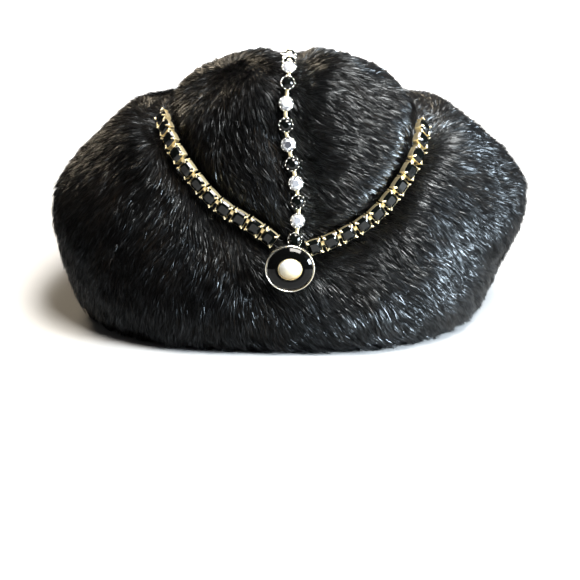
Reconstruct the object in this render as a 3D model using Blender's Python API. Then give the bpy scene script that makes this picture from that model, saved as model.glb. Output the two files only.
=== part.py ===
"""A black fur pillbox hat: a domed crown in two lobes, a puffed cuff that dips at the front, three
chains of stones in the creases and a pearl medallion.

Metres, +Z up. The front of the hat faces -Y, and the hat stands on the plane z = 0. An azimuth is
measured in degrees from the front, and grows towards +X.
"""

import math

import bmesh
import bpy
import numpy as np
from mathutils import Matrix, Vector
from mathutils.bvhtree import BVHTree

# Hollow for the head
HOLLOW_HALF_WIDTH = 0.079
HOLLOW_HALF_LENGTH = 0.096
HOLLOW_SET_BACK = 0.006
HOLLOW_HEIGHT = 0.119
HOLLOW_PLAN_SQUARENESS = 2.1
HOLLOW_TOP_SQUARENESS = 3.2
HOLLOW_TOP_SHARES = (0, 0.45, 0.75, 0.93)
SEAM_SHARE = 0.78

# Padding between the hollow and the tips of the hair, where it is thickest
SIDE_PADDING = 0.063
FRONT_PADDING = 0.029
BACK_PADDING = 0.037
CROWN_PADDING = 0.032

# Reach of the fur form
HALF_WIDTH = HOLLOW_HALF_WIDTH + SIDE_PADDING
FRONT_REACH = HOLLOW_HALF_LENGTH - HOLLOW_SET_BACK + FRONT_PADDING
BACK_REACH = HOLLOW_HALF_LENGTH + HOLLOW_SET_BACK + BACK_PADDING
HEIGHT = HOLLOW_HEIGHT + CROWN_PADDING
CUFF_SQUARENESS = 2.5
CROWN_SQUARENESS = 2.4

# Stones and their settings
CLEARANCE = 0.0003
ROUND_STONE = 0.0080
ROUND_SPACING = 0.0019
ROUND_COUNT = 14
ROUND_SIDES = 12
SQUARE_CUP = 0.0078
SQUARE_SPACING = 0.0012
SQUARE_COUNT = 11
SQUARE_CORNER = 0.0011
CUP_DEPTH = 0.0038
STONE_RISE = 0.0014
CLAW_RISE = 0.0009
CLAW_LEAN_SHARE = 0.10
LINK_WIDTH = 0.0016
LINK_DEPTH = 0.0011
LINK_LIFT = 0.0004
LINK_GAP = 0.0010
ROUND_CLAWS = (30, 150, 210, 330)
SQUARE_CLAWS = (45, 135, 225, 315)

# Chains: where they start, how they bridge a bend, how the side chains tilt outwards and how far
# round they can run, and the rows of FORM behind the peak that the centre chain can reach
CENTRE_MARGIN = 0.0006
SIDE_MARGIN = 0.0042
BEND_EASE = 0.020
SIDE_TILT = math.radians(18)
SIDE_REACH = math.radians(80)
PATH_STEPS = 400
BEHIND_ROWS = 2
CALM_SHARES = (-0.6, -0.3, 0, 0.3, 0.6)

# Creases between the lobes
VALLEY_MARGIN = 0.0010
VALLEY_SLOPE = 0.0080
VALLEY_DEPTH = 0.0065
VALLEY_BACK_SHARE = 0.35
VALLEY_EASE_SHARE = 0.33
VALLEY_FLOOR = ROUND_STONE / 2 + VALLEY_MARGIN
VALLEY_REACH = VALLEY_FLOOR + VALLEY_SLOPE
VALLEY_BANDS = (0, VALLEY_FLOOR, (VALLEY_FLOOR + VALLEY_REACH) / 2, VALLEY_REACH)
CENTRE_BOW = 0.0030
SEAM_GAP = 0.0009

# Folds and swells of the padded fur
FOLD_DEPTH = 0.0100

# Locks of fur: how far a lock stands out, how far its tip leans along the hair and how much that
# turns round the hat, and the reach from the peak of the crown inside which they grow smaller
LOCK_RELIEF = 0.0011
LOCK_LEAN = 0.0022
LOCK_TURN_SHARE = 0.4
LOCK_CALM = 0.050

# Height up to which the resting face keeps clear of folds and locks, as a share of HEIGHT
STEADY_SHARE = 0.05

# Medallion, from the pearl outwards
PEARL_WIDTH = 0.0118
PEARL_LENGTH = 0.0102
PEARL_DOME = 0.0032
COLLAR_WIDTH = 0.0006
COLLAR_HEIGHT = 0.0012
TABLE_MARGIN = 0.0004
RING_WIDTH = 0.0044
RIM_WIDTH = 0.0011
RECESS_DEPTH = 0.0030
BACK_THICKNESS = 0.0020
DISC_EDGE = 0.0020
DISC_SLOPE = 0.0016
MEDALLION_TILT = math.radians(8)
MEDALLION_RISE = 0.0030
MEDALLION_SIDES = 24
PEARL_SIDES = 16
PEARL_ANGLES = (0, 25, 50, 72)

# Lift of a setting before it is lowered on the fur, and how near the fur is that it can meet
DROP_HEIGHT = 4 * VALLEY_DEPTH
DROP_REACH = 5 * VALLEY_DEPTH

# How finely the fur is divided
COLUMNS = 88
CROWDING_SHARE = 0.35
CUFF_ROWS = 9
CROWN_ROWS = 8
HOLLOW_ROWS = 3
SHARP_ANGLE = math.radians(35)

# Rows of FORM left out round the peak: by the outermost ring of the crown, and where the outward
# direction is taken. LEAST_LEAN bounds the lean of the crease to the rows
TIP_ROWS = 0.35
PEAK_ROWS = 0.02
LEAST_LEAN = 0.3

# Horizontal sections of the fur form, from the resting face to the peak: the height as a share of
# HEIGHT, the reach to the side, front and back as shares of the three named reaches, and how far
# the middle of the section lies ahead, as a share of FRONT_REACH
FORM = (
    # height, side, front, back, ahead
    (0.000, 0.780, 0.840, 0.830, 0.000),
    (0.035, 0.860, 0.912, 0.895, 0.000),
    (0.097, 0.915, 0.962, 0.945, 0.000),
    (0.199, 0.948, 0.990, 0.975, 0.000),
    (0.306, 0.975, 0.973, 0.995, 0.000),
    (0.407, 0.995, 0.930, 1.000, 0.000),
    (0.495, 0.968, 0.895, 0.985, 0.000),
    (0.577, 0.902, 0.872, 0.957, 0.000),
    (0.675, 0.784, 0.847, 0.904, 0.010),
    (0.755, 0.638, 0.803, 0.855, 0.040),
    (0.840, 0.486, 0.731, 0.795, 0.100),
    (0.905, 0.370, 0.590, 0.748, 0.210),
    (0.955, 0.255, 0.416, 0.489, 0.336),
    (0.985, 0.165, 0.273, 0.252, 0.420),
    (1.000, 0.000, 0.000, 0.000, 0.470),
)

# The crease between crown and cuff: its height as a share of HEIGHT
CREASE = (
    # azimuth, height
    (-190, 0.776),
    (-180, 0.776),
    (-100, 0.820),
    (-60, 0.820),
    (-44, 0.778),
    (-36, 0.728),
    (-30, 0.668),
    (-24, 0.586),
    (-18, 0.522),
    (-9, 0.470),
    (0, 0.393),
    (9, 0.417),
    (18, 0.464),
    (25, 0.524),
    (32, 0.621),
    (38, 0.701),
    (46, 0.763),
    (62, 0.810),
    (100, 0.820),
    (180, 0.776),
    (190, 0.776),
)

# The centre crease: its place to the side at a height, as a share of CENTRE_BOW
CENTRE_CREASE = (
    # height, sideways
    (0.00, 0.0),
    (0.34, 0.0),
    (0.43, 1.1),
    (0.50, 1.4),
    (0.58, 1.1),
    (0.66, 0.4),
    (0.75, -0.6),
    (0.84, -0.7),
    (0.94, -0.2),
    (1.00, 0.1),
    (1.01, 0.1),
)

# Rings of a setting, from the back of its cup to the table of its stone: the width as a share of
# a round or a square setting, and the height as shares of CUP_DEPTH and STONE_RISE
SETTING = (
    # round, square, cup, stone
    (0.68, 0.90, 0.0, 0.0),
    (1.00, 1.00, 1.0, 0.0),
    (0.84, 0.86, 1.0, 0.0),
    (0.50, 0.54, 1.0, 1.0),
)

# Rings of the bezel, from its back over the rim to the floor of the recess: how far out it stands
# as a share of RIM_WIDTH, and the height as shares of BACK_THICKNESS and RECESS_DEPTH
BEZEL = (
    # rim, back, recess
    (0.0, 0.00, 0.00),
    (1.0, 0.85, 0.00),
    (1.0, 1.00, 0.83),
    (0.5, 1.00, 1.00),
    (0.0, 1.00, 0.90),
    (0.0, 1.00, 0.00),
)

# Swells and folds of the fur: where, how far they spread, and how far they stand out (or in, when
# negative) as a share of FOLD_DEPTH. Heights are shares of HEIGHT
SWELLS = (
    # azimuth, height, spread round, spread up, out
    (47, 0.58, 9, 0.09, -0.35),
    (45, 0.43, 8, 0.09, -0.75),
    (50, 0.31, 9, 0.08, -0.80),
    (62, 0.21, 12, 0.08, -0.75),
    (72, 0.12, 26, 0.10, -0.90),
    (75, 0.92, 40, 0.07, -0.42),
    (-75, 0.90, 40, 0.07, -0.18),
    (95, 0.27, 35, 0.14, -0.45),
    (88, 0.54, 22, 0.12, 0.35),
    (-95, 0.26, 25, 0.05, -0.20),
    (-60, 0.04, 24, 0.08, 0.30),
    (-28, 0.19, 14, 0.14, 0.15),
    (20, 0.17, 15, 0.12, 0.20),
    (150, 0.44, 20, 0.16, -0.25),
    (-140, 0.34, 18, 0.14, -0.25),
    (178, 0.58, 16, 0.20, -0.20),
)


def through_table(table, key, column=1):
    """The smooth value of a column of a table at a key in its first column."""
    last = len(table) - 1
    row = 0
    while row < last - 1 and key > table[row + 1][0]:
        row += 1

    def slope(k):
        low, high = max(k - 1, 0), min(k + 1, last)
        return (table[high][column] - table[low][column]) / (table[high][0] - table[low][0])

    span = table[row + 1][0] - table[row][0]
    t = (key - table[row][0]) / span
    start, end = table[row][column], table[row + 1][column]
    bend = (start * (1 + 2 * t) + slope(row) * span * t) * (1 - t) ** 2
    return bend + (end * (3 - 2 * t) - slope(row + 1) * span * (1 - t)) * t**2


FORM_ROWS = [(k, *row) for k, row in enumerate(FORM)]
TOP = len(FORM) - 1


def superellipse(azimuth, side, length, squareness):
    """How far a rounded oval reaches at an azimuth."""
    s = abs(math.sin(azimuth)) / side
    c = abs(math.cos(azimuth)) / length
    return (s**squareness + c**squareness) ** (-1 / squareness)


def section_middle(rise):
    """Where the middle of a section of the fur form lies along Y."""
    return -through_table(FORM_ROWS, rise, 5) * FRONT_REACH


def form_point(azimuth, rise):
    """A point of the smooth fur form. rise is a fractional row of FORM."""
    height, side, front, back = (through_table(FORM_ROWS, rise, k) for k in range(1, 5))
    length = front * FRONT_REACH if math.cos(azimuth) > 0 else back * BACK_REACH
    side = max(side * HALF_WIDTH, 1e-6)
    length = max(length, 1e-6)
    squareness = CUFF_SQUARENESS + (CROWN_SQUARENESS - CUFF_SQUARENESS) * min(height, 1)
    reach = superellipse(azimuth, side, length, squareness)
    y = section_middle(rise) - math.cos(azimuth) * reach
    return Vector((math.sin(azimuth) * reach, y, height * HEIGHT))


def form_tangents(azimuth, rise):
    """The rates at which the form moves round the hat and up its side."""
    step = 1e-3
    low, high = max(rise - step, 0), min(rise + step, TOP)
    across = (form_point(azimuth + step, rise) - form_point(azimuth - step, rise)) / (2 * step)
    up = (form_point(azimuth, high) - form_point(azimuth, low)) / (high - low)
    return across, up


def form_normal(azimuth, rise):
    """The outward direction of the fur form."""
    across, up = form_tangents(azimuth, min(max(rise, PEAK_ROWS), TOP - PEAK_ROWS))
    return across.cross(up).normalized()


def rise_at(height):
    """The fractional row of FORM at a height given as a share of HEIGHT."""
    low, high = 0.0, float(TOP)
    for _ in range(30):
        middle = (low + high) / 2
        if through_table(FORM_ROWS, middle, 1) < height:
            low = middle
        else:
            high = middle
    return (low + high) / 2


def crease_rise(azimuth):
    """The row of FORM at which the crease between crown and cuff runs."""
    turned = (math.degrees(azimuth) + 180) % 360 - 180
    return rise_at(through_table(CREASE, turned))


def crease_stretch(azimuth):
    """How many rows of FORM make a metre square to the crease."""
    step = 0.01
    rise = crease_rise(azimuth)
    ahead = form_point(azimuth + step, crease_rise(azimuth + step))
    along = ahead - form_point(azimuth - step, crease_rise(azimuth - step))
    up = form_tangents(azimuth, rise)[1]
    lean = along.normalized().cross(up.normalized()).length
    return 1 / (up.length * max(lean, LEAST_LEAN))


def valley(distance):
    """How deep a crease is at a distance from its middle, from 1 on its floor to 0."""
    t = (abs(distance) - VALLEY_FLOOR) / (VALLEY_REACH - VALLEY_FLOOR)
    t = min(max(t, 0), 1)
    return 1 - t * t * (3 - 2 * t)


def centre_place(height):
    """How far to the side the centre crease runs at a height."""
    return through_table(CENTRE_CREASE, height / HEIGHT) * CENTRE_BOW


def centre_valley(point, above_crease):
    """How deep the centre crease is at a point of the crown."""
    depth = valley(point.x - centre_place(point.z))
    behind = min(max(point.y / (BACK_REACH * VALLEY_EASE_SHARE), 0), 1)
    return depth * (1 - (1 - VALLEY_BACK_SHARE) * behind) * min(max(above_crease, 0), 1)


def swell(azimuth, height):
    """How far the fur stands out of the smooth form, or in."""
    out = 0
    for at, level, round_spread, up_spread, share in SWELLS:
        turn = (math.degrees(azimuth) - at + 180) % 360 - 180
        out += share * math.exp(-((turn / round_spread) ** 2) - ((height - level) / up_spread) ** 2)
    return out * FOLD_DEPTH


def fur_point(azimuth, rise, from_crease, lock=0):
    """A point of the fur, with its creases, folds and locks.

    from_crease is the distance up from the crease, in metres. lock is from -1, between locks, to 1.
    """
    point = form_point(azimuth, rise)
    normal = form_normal(azimuth, rise)
    height = point.z / HEIGHT
    side_valley = valley(from_crease)
    deep = 1 - (1 - side_valley) * (1 - centre_valley(point, from_crease / VALLEY_REACH))
    steady = min(height / STEADY_SHARE, 1)
    from_peak = math.hypot(point.x, point.y - section_middle(rise))
    lock *= min(from_peak / LOCK_CALM, 1)
    out = swell(azimuth, height) * steady * (1 - deep) - deep * VALLEY_DEPTH
    out += lock * LOCK_RELIEF * (1 - deep) * steady
    across, up = form_tangents(azimuth, rise)
    hair = across.normalized() * LOCK_TURN_SHARE * math.sin(azimuth) - up.normalized()
    lean = hair * max(lock, 0) * LOCK_LEAN * (1 - deep) * steady
    moved = point + normal * out + lean
    moved.z = max(moved.z, 0)
    return moved


def hollow_point(azimuth, height):
    """A point of the hollow for the head, at a height in metres."""
    share = min(height / HOLLOW_HEIGHT, 1)
    width = (1 - share**HOLLOW_TOP_SQUARENESS) ** (1 / HOLLOW_TOP_SQUARENESS)
    plan = superellipse(azimuth, HOLLOW_HALF_WIDTH, HOLLOW_HALF_LENGTH, HOLLOW_PLAN_SQUARENESS)
    x, y = math.sin(azimuth) * plan * width, -math.cos(azimuth) * plan * width
    return Vector((x, y + HOLLOW_SET_BACK, height))


def column_azimuths():
    """The azimuths at which the fur is divided, closer together at the front."""
    for k in range(COLUMNS):
        turn = 2 * math.pi * k / COLUMNS
        yield turn - CROWDING_SHARE * math.sin(turn)


def mesh_object(name, bm, material, collection):
    """An object made from a bmesh, shaded smooth with sharp edges kept."""
    bmesh.ops.recalc_face_normals(bm, faces=bm.faces)
    mesh = bpy.data.meshes.new(name)
    bm.to_mesh(mesh)
    bm.free()
    mesh.shade_smooth()
    mesh.set_sharp_from_angle(angle=SHARP_ANGLE)
    mesh.materials.append(material)
    ob = bpy.data.objects.new(name, mesh)
    collection.objects.link(ob)
    return ob


def loft(rings, first_cap=None, last_cap=None, around=False):
    """A bmesh through rings of equal count, closed by caps or by joining the last ring to the first.

    A cap is a point that closes its end to a tip, or the word flat.
    """
    bm = bmesh.new()
    rows = [[bm.verts.new(point) for point in ring] for ring in rings]
    pairs = list(zip(rows, rows[1:]))
    if around:
        pairs.append((rows[-1], rows[0]))
    count = len(rows[0])
    for low, high in pairs:
        for k in range(count):
            after = (k + 1) % count
            bm.faces.new((low[k], low[after], high[after], high[k]))
    for row, cap in ((rows[0], first_cap), (rows[-1], last_cap)):
        if cap == "flat":
            bm.faces.new(row)
        elif cap is not None:
            tip = bm.verts.new(cap)
            for k in range(count):
                bm.faces.new((row[k], row[(k + 1) % count], tip))
    return bm


def crease_rows(azimuth, direction, count, end):
    """Rows of the fur from the crease to its far edge, as (row of FORM, distance from the crease).

    direction is 1 up the crown and -1 down the cuff; end is the last row of FORM.
    """
    start = crease_rise(azimuth)
    stretch = crease_stretch(azimuth)
    rows = [(start + direction * band * stretch, direction * band) for band in VALLEY_BANDS]
    last = rows[-1][0]
    for k in range(1, count + 1):
        rise = last + (end - last) * k / count
        rows.append((rise, direction * (VALLEY_REACH + abs(rise - last) / stretch)))
    return rows


def fur_rings(direction, count, end, gap):
    """The outer rings of the crown or the cuff, from the crease outwards."""
    columns = []
    for column, azimuth in enumerate(column_azimuths()):
        points = []
        for row, (rise, distance) in enumerate(crease_rows(azimuth, direction, count, end)):
            lock = 0 if row < len(VALLEY_BANDS) else (1 if (row + column) % 2 else -1)
            point = fur_point(azimuth, rise, distance, lock)
            if row == 0:
                point += form_tangents(azimuth, rise)[1].normalized() * gap
            points.append(point)
        columns.append(points)
    return [list(ring) for ring in zip(*columns)]


def seam_heights():
    """For each column, the height at which the seam between crown and cuff meets the hollow."""
    for azimuth in column_azimuths():
        yield form_point(azimuth, crease_rise(azimuth)).z * SEAM_SHARE


def hollow_ring(share, from_top, gap=0):
    """A ring of the hollow, at a share of the way from the seam to the edge or to the top."""
    ring = []
    for azimuth, seam in zip(column_azimuths(), seam_heights()):
        far = HOLLOW_HEIGHT if from_top else 0
        ring.append(hollow_point(azimuth, seam + gap + (far - seam - gap) * share))
    return ring


def build_cuff(material, collection):
    """The puffed band of fur round the crown, down to the face it rests on."""
    outer = fur_rings(-1, CUFF_ROWS, 0, 0)
    inner = [hollow_ring(k / HOLLOW_ROWS, False) for k in range(HOLLOW_ROWS, -1, -1)]
    return mesh_object("cuff", loft(outer + inner, around=True), material, collection)


def build_crown(material, collection):
    """The domed top of the hat, in two lobes, over the hollow."""
    outer = fur_rings(1, CROWN_ROWS, TOP - TIP_ROWS, SEAM_GAP)
    top = fur_point(0, TOP, HEIGHT)
    inner = [hollow_ring(share, True, SEAM_GAP) for share in HOLLOW_TOP_SHARES]
    hollow_top = Vector((0, HOLLOW_SET_BACK, HOLLOW_HEIGHT))
    bm = loft(outer[::-1] + inner, top, hollow_top)
    return mesh_object("crown", bm, material, collection)


def oval_ring(width, length, height, sides, start=0.5):
    """A level ring of points, width along X and length along Y."""
    ring = []
    for k in range(sides):
        turn = 2 * math.pi * (k + start) / sides
        ring.append(Vector((math.cos(turn) * width / 2, math.sin(turn) * length / 2, height)))
    return ring


def cut_square_ring(width, corner, height):
    """A level square ring with its corners cut off."""
    half, near = width / 2, width / 2 - corner
    places = ((half, -near), (half, near), (near, half), (-near, half))
    points = [Vector((x, y, height)) for x, y in places]
    return points + [Vector((-p.x, -p.y, height)) for p in points]


def extrude_face(bm, face, corners):
    """Draws a face out to new corners, given in the order of the face's own."""
    order = [vert.co.copy() for vert in face.verts]
    made = bmesh.ops.extrude_face_region(bm, geom=[face])["geom"]
    if face.is_valid:
        bm.faces.remove(face)
    for vert in (item for item in made if isinstance(item, bmesh.types.BMVert)):
        nearest = min(range(len(order)), key=lambda k: (order[k] - vert.co).length)
        vert.co = corners[nearest]


def add_link(bm, wall, reach):
    """Draws the wall that faces the next setting out into a flat link."""
    corners = []
    for vert in wall.verts:
        side = math.copysign(LINK_WIDTH / 2, vert.co.y)
        height = LINK_LIFT if vert.co.z < CUP_DEPTH / 2 else LINK_LIFT + LINK_DEPTH
        corners.append(Vector((reach, side, height)))
    extrude_face(bm, wall, corners)


def add_claw(bm, lip):
    """Draws a piece of the rim up into a claw that leans over the stone."""
    corners = []
    for vert in lip.verts:
        inward = Vector((vert.co.x, vert.co.y, 0)) * CLAW_LEAN_SHARE
        corners.append(vert.co - inward + Vector((0, 0, CLAW_RISE)))
    extrude_face(bm, lip, corners)


def setting(rings, pitch, claws, last):
    """A cup with its stone: rings from the back of the cup to the table of the stone.

    claws gives the turns, in degrees, of the pieces of the rim that rise.
    """
    bm = loft(rings, "flat", "flat")
    bm.faces.ensure_lookup_table()
    sides = len(rings[0])
    walls = bm.faces[:sides]
    lips = bm.faces[sides : 2 * sides]
    wall = max(walls, key=lambda face: face.calc_center_median().x)
    chosen = []
    for lip in lips:
        middle = lip.calc_center_median()
        turn = math.degrees(math.atan2(middle.y, middle.x)) % 360
        if any(abs((turn - claw + 180) % 360 - 180) < 1 for claw in claws):
            chosen.append(lip)
    for lip in chosen:
        add_claw(bm, lip)
    if not last:
        half = max(abs(point.x) for point in rings[1])
        add_link(bm, wall, pitch - half - LINK_GAP)
    return bm


def round_setting(last):
    """A round stone in a cup with four claws."""
    rings = []
    for share, _, cup, stone in SETTING:
        width = ROUND_STONE * share
        rings.append(oval_ring(width, width, CUP_DEPTH * cup + STONE_RISE * stone, ROUND_SIDES))
    return setting(rings, ROUND_STONE + ROUND_SPACING, ROUND_CLAWS, last)


def square_setting(last):
    """A square stone in a cup with a claw at each corner."""
    rings = []
    for _, share, cup, stone in SETTING:
        height = CUP_DEPTH * cup + STONE_RISE * stone
        rings.append(cut_square_ring(SQUARE_CUP * share, SQUARE_CORNER, height))
    return setting(rings, SQUARE_CUP + SQUARE_SPACING, SQUARE_CLAWS, last)


def even_steps(path, start, pitch, count):
    """Points at an even pitch along a finely divided path, each with its direction."""
    lengths = [0]
    for a, b in zip(path, path[1:]):
        lengths.append(lengths[-1] + (b - a).length)

    def at(distance):
        k = min(max(np.searchsorted(lengths, distance), 1), len(path) - 1)
        t = (distance - lengths[k - 1]) / (lengths[k] - lengths[k - 1])
        return path[k - 1].lerp(path[k], t)

    for k in range(count):
        here = start + k * pitch
        yield at(here), (at(here + pitch / 2) - at(here - pitch / 2)).normalized()


def seat(mesh, place, fur):
    """Lowers a setting along its own axis until it is CLEARANCE from the fur."""
    points, tree = fur
    axis = place.col[2].xyz
    raised = Matrix.Translation(axis * DROP_HEIGHT) @ place
    corners = [raised @ vert.co for vert in mesh.vertices]
    falls = []
    for probe in surface_probes(mesh):
        falls.append(tree.ray_cast(raised @ probe, -axis)[3])
    own_tree = BVHTree.FromPolygons(corners, [list(face.vertices) for face in mesh.polygons])
    for point in points:
        if (point - place.translation).length < DROP_REACH:
            falls.append(own_tree.ray_cast(point, axis)[3])
    fall = min(distance for distance in falls if distance is not None)
    return Matrix.Translation(-axis * (fall - CLEARANCE)) @ raised


def surface_probes(mesh):
    """Corners, middles of faces and points along the edges of a mesh."""
    probes = [vert.co.copy() for vert in mesh.vertices]
    probes += [face.center.copy() for face in mesh.polygons]
    for edge in mesh.edges:
        start, end = (mesh.vertices[k].co for k in edge.vertices)
        probes += [start.lerp(end, share) for share in (0.25, 0.5, 0.75)]
    return probes


def axes_matrix(origin, along, out):
    """A frame whose X runs along a chain and whose Z looks out of the fur."""
    across = out.cross(along).normalized()
    along = across.cross(out).normalized()
    frame = Matrix((along, across, out)).transposed().to_4x4()
    frame.translation = origin
    return frame


def crease_floor(azimuth, rise):
    """A point on the floor of a crease."""
    return form_point(azimuth, rise) - form_normal(azimuth, rise) * VALLEY_DEPTH


def eased_path(points):
    """A path evened over BEND_EASE, because settings bridge a sharp bend."""
    spacing = sum((b - a).length for a, b in zip(points, points[1:])) / (len(points) - 1)
    reach = max(int(BEND_EASE / spacing / 2), 1)
    path = []
    for k in range(len(points)):
        near = min(reach, k, len(points) - 1 - k)
        window = points[k - near : k + near + 1]
        path.append(sum(window, Vector()) / len(window))
    return path


def centre_path():
    """The floor of the centre crease, from the front crease over the peak of the crown."""
    start = crease_rise(0)
    steps = [k / PATH_STEPS for k in range(PATH_STEPS + 1)]
    floor = [crease_floor(0, start + (TOP - start) * share) for share in steps]
    floor += [crease_floor(math.pi, TOP - BEHIND_ROWS * share) for share in steps[2::2]]
    return eased_path([Vector((centre_place(p.z), p.y, p.z)) for p in floor])


def side_path(side):
    """The floor of a side crease, from the front centre back. side is -1 on the left, 1 on the right."""
    azimuths = (side * SIDE_REACH * k / PATH_STEPS for k in range(PATH_STEPS + 1))
    return eased_path([crease_floor(azimuth, crease_rise(azimuth)) for azimuth in azimuths])


def outward_at(point):
    """The outward direction of the form at a point near it."""
    rise = rise_at(point.z / HEIGHT)
    azimuth = math.atan2(point.x, section_middle(rise) - point.y)
    return form_normal(azimuth, rise)


def calm_outward(point, along, pitch):
    """The outward direction at a setting, evened over the length of the setting."""
    total = Vector()
    for share in CALM_SHARES:
        total += outward_at(point + along * pitch * share)
    return total.normalized()


def build_chain(stem, path, start, pitch, count, make, tilt, materials, collection, fur):
    """The settings of one chain, each seated on the fur."""
    settings = []
    for k, (point, along) in enumerate(even_steps(path, start, pitch, count)):
        out = calm_outward(point, along, pitch)
        if tilt:
            out = Matrix.Rotation(tilt, 3, along) @ out
        material = materials[k % len(materials)]
        name = f"{stem}_{k + 1:02d}"
        ob = mesh_object(name, make(k == count - 1), material, collection)
        ob.matrix_world = seat(ob.data, axes_matrix(point, along, out), fur)
        settings.append(ob)
    return settings


def build_medallion(materials, collection, under):
    """The oval medallion at the front: its bezel, the disc in it and the pearl on the disc."""
    silver, glass, pearl = materials

    def pearl_ring(wider, height):
        return oval_ring(PEARL_WIDTH + 2 * wider, PEARL_LENGTH + 2 * wider, height, PEARL_SIDES)

    def ring(wider, height):
        return oval_ring(PEARL_WIDTH + 2 * wider, PEARL_LENGTH + 2 * wider, height, MEDALLION_SIDES)

    table = COLLAR_WIDTH + TABLE_MARGIN
    disc_edge = table + RING_WIDTH
    rim_inside = disc_edge + CLEARANCE
    bezel_rings = []
    for rim, back, recess in BEZEL:
        height = back * BACK_THICKNESS + recess * RECESS_DEPTH
        bezel_rings.append(ring(rim_inside + rim * RIM_WIDTH, height))
    bezel = loft(bezel_rings, "flat", "flat")
    disc_floor = BACK_THICKNESS + CLEARANCE
    disc_top = disc_floor + DISC_EDGE + DISC_SLOPE
    disc = loft(
        [ring(disc_edge, disc_floor), ring(disc_edge, disc_floor + DISC_EDGE), ring(table, disc_top)],
        "flat",
        "flat",
    )
    seat_height = disc_top + CLEARANCE
    dome_foot = seat_height + COLLAR_HEIGHT
    rings = [pearl_ring(COLLAR_WIDTH, seat_height), pearl_ring(COLLAR_WIDTH, dome_foot)]
    for angle in PEARL_ANGLES:
        share = math.cos(math.radians(angle))
        height = dome_foot + PEARL_DOME * math.sin(math.radians(angle))
        rings.append(oval_ring(PEARL_WIDTH * share, PEARL_LENGTH * share, height, PEARL_SIDES))
    cabochon = loft(rings, "flat", Vector((0, 0, dome_foot + PEARL_DOME)))

    crease = form_point(0, crease_rise(0)).z
    half_length = PEARL_LENGTH / 2 + rim_inside + RIM_WIDTH
    place = form_point(0, rise_at((crease - half_length + MEDALLION_RISE) / HEIGHT))
    place.x = centre_place(place.z)
    out = Vector((0, -math.cos(MEDALLION_TILT), math.sin(MEDALLION_TILT)))
    frame = axes_matrix(place, Vector((1, 0, 0)), out)
    back = mesh_object("medallion_bezel", bezel, silver, collection)
    frame = seat(back.data, frame, under)
    pieces = [
        back,
        mesh_object("medallion_disc", disc, glass, collection),
        mesh_object("medallion_pearl", cabochon, pearl, collection),
    ]
    for piece in pieces:
        piece.matrix_world = frame
    return pieces


def make_material(name, colour, roughness, metallic=0.0):
    """A plain surface with a colour, roughness and metallic value."""
    material = bpy.data.materials.new(name)
    material.use_nodes = True
    shader = material.node_tree.nodes["Principled BSDF"]
    shader.inputs["Base Color"].default_value = (*colour, 1)
    shader.inputs["Roughness"].default_value = roughness
    shader.inputs["Metallic"].default_value = metallic
    material.diffuse_color = (*colour, 1)
    return material


def surface_of(objects):
    """The corner points of objects and a search tree over them, for seating what lies on them."""
    points, faces = [], []
    for ob in objects:
        base = len(points)
        points += [ob.matrix_world @ vert.co for vert in ob.data.vertices]
        faces += [[base + k for k in face.vertices] for face in ob.data.polygons]
    return points, BVHTree.FromPolygons(points, faces)


def centre_on_origin(objects):
    """Hangs every piece on one empty that brings the middle of the hat over the origin."""
    corners = [ob.matrix_world @ vert.co for ob in objects for vert in ob.data.vertices]
    middle = [(min(p[k] for p in corners) + max(p[k] for p in corners)) / 2 for k in range(2)]
    hat = bpy.data.objects.new("hat", None)
    objects[0].users_collection[0].objects.link(hat)
    for ob in objects:
        ob.parent = hat
    hat.location = (-middle[0], -middle[1], 0)


def main():
    for ob in list(bpy.data.objects):
        bpy.data.objects.remove(ob)
    collection = bpy.data.collections.new("pillbox_hat")
    bpy.context.scene.collection.children.link(collection)
    black_fur = make_material("fur", (0.012, 0.011, 0.011), 0.55)
    silver = make_material("silver", (0.62, 0.60, 0.55), 0.25, 1.0)
    clear = make_material("clear_stone", (0.85, 0.88, 0.92), 0.08)
    black = make_material("black_stone", (0.010, 0.010, 0.012), 0.08)
    glass = make_material("black_glass", (0.008, 0.008, 0.010), 0.06)
    pearl = make_material("pearl", (0.90, 0.84, 0.70), 0.20)

    cuff = build_cuff(black_fur, collection)
    crown = build_crown(black_fur, collection)
    fur = surface_of((cuff, crown))
    centre = build_chain(
        "centre_stone",
        centre_path(),
        ROUND_STONE / 2 + CENTRE_MARGIN,
        ROUND_STONE + ROUND_SPACING,
        ROUND_COUNT,
        round_setting,
        0,
        (black, clear),
        collection,
        fur,
    )
    sides = []
    for stem, side in (("left_stone", -1), ("right_stone", 1)):
        sides += build_chain(
            stem,
            side_path(side),
            (ROUND_STONE + SQUARE_CUP) / 2 + SIDE_MARGIN,
            SQUARE_CUP + SQUARE_SPACING,
            SQUARE_COUNT,
            square_setting,
            side * SIDE_TILT,
            (black,),
            collection,
            fur,
        )
    under = surface_of((cuff, crown, *centre, *sides))
    medallion = build_medallion((silver, glass, pearl), collection, under)
    centre_on_origin([cuff, crown, *medallion, *centre, *sides])


if __name__ == "__main__":
    main()
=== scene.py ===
"""The looks of the black fur pillbox hat: fur of single hairs on the crown and the cuff, stones in
metal settings, and the pearl medallion. Metres, +Z up, the front of the hat faces -Y."""

import math

import bmesh
import bpy
import numpy as np
from mathutils import Matrix, Vector
from mathutils.bvhtree import BVHTree


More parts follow.
